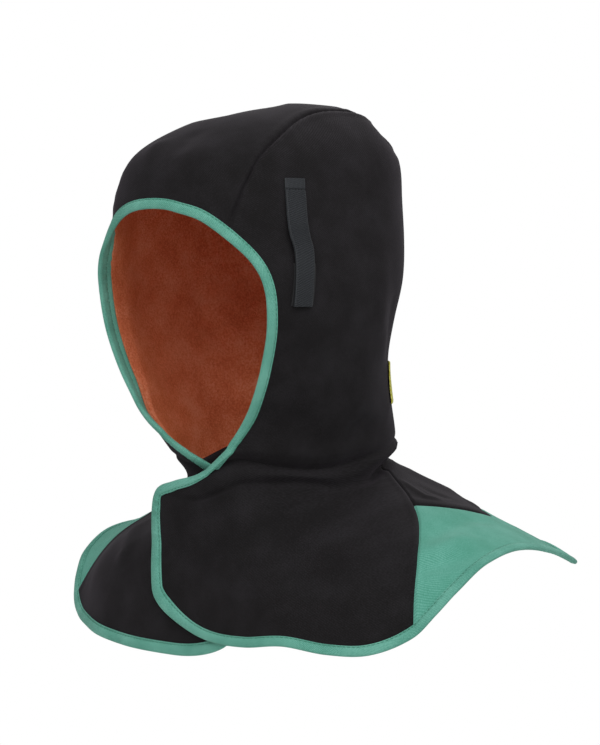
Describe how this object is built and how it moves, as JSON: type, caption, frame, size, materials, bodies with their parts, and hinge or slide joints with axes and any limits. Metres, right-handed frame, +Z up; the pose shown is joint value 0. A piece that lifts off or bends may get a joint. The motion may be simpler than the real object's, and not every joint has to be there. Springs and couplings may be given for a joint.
{
  "type": "flame-resistant welding hood with shoulder cape",
  "caption": "Soft flame-resistant head hood with an oval face opening, a fleece lining, helmet straps on its sides and a flared shoulder cape with bound edges.",
  "frame": {"origin": "top of the wearer's head, where the lining's crown bears on it", "axes": "+Z up, -Y out of the face opening, +X to the wearer's left"},
  "size_m": [0.3616, 0.3263, 0.3825],
  "materials": {
    "black_cloth": "matte brushed cotton",
    "orange_fleece": "matte fleece",
    "green_binding": "matte folded tape",
    "green_cloth": "matte brushed cotton",
    "black_webbing": "ribbed webbing",
    "hook_and_loop": "looped pile",
    "yellow_ribbon": "smooth woven ribbon"
  },
  "bodies": {
    "root": {"crown_panel": "black_cloth", "side_panel_left": "black_cloth", "side_panel_right": "black_cloth", "hood_lining": "orange_fleece", "face_binding": "green_binding", "cape_front_left": "black_cloth", "cape_front_right": "black_cloth", "back_yoke": "black_cloth", "back_panel": "green_cloth", "cape_binding": "green_binding", "helmet_strap_left": "black_webbing", "helmet_strap_right": "black_webbing", "strap_patch_left": "hook_and_loop", "strap_patch_right": "hook_and_loop", "neck_label": "yellow_ribbon", "front_closure": "hook_and_loop"}
  },
  "joints": []
}
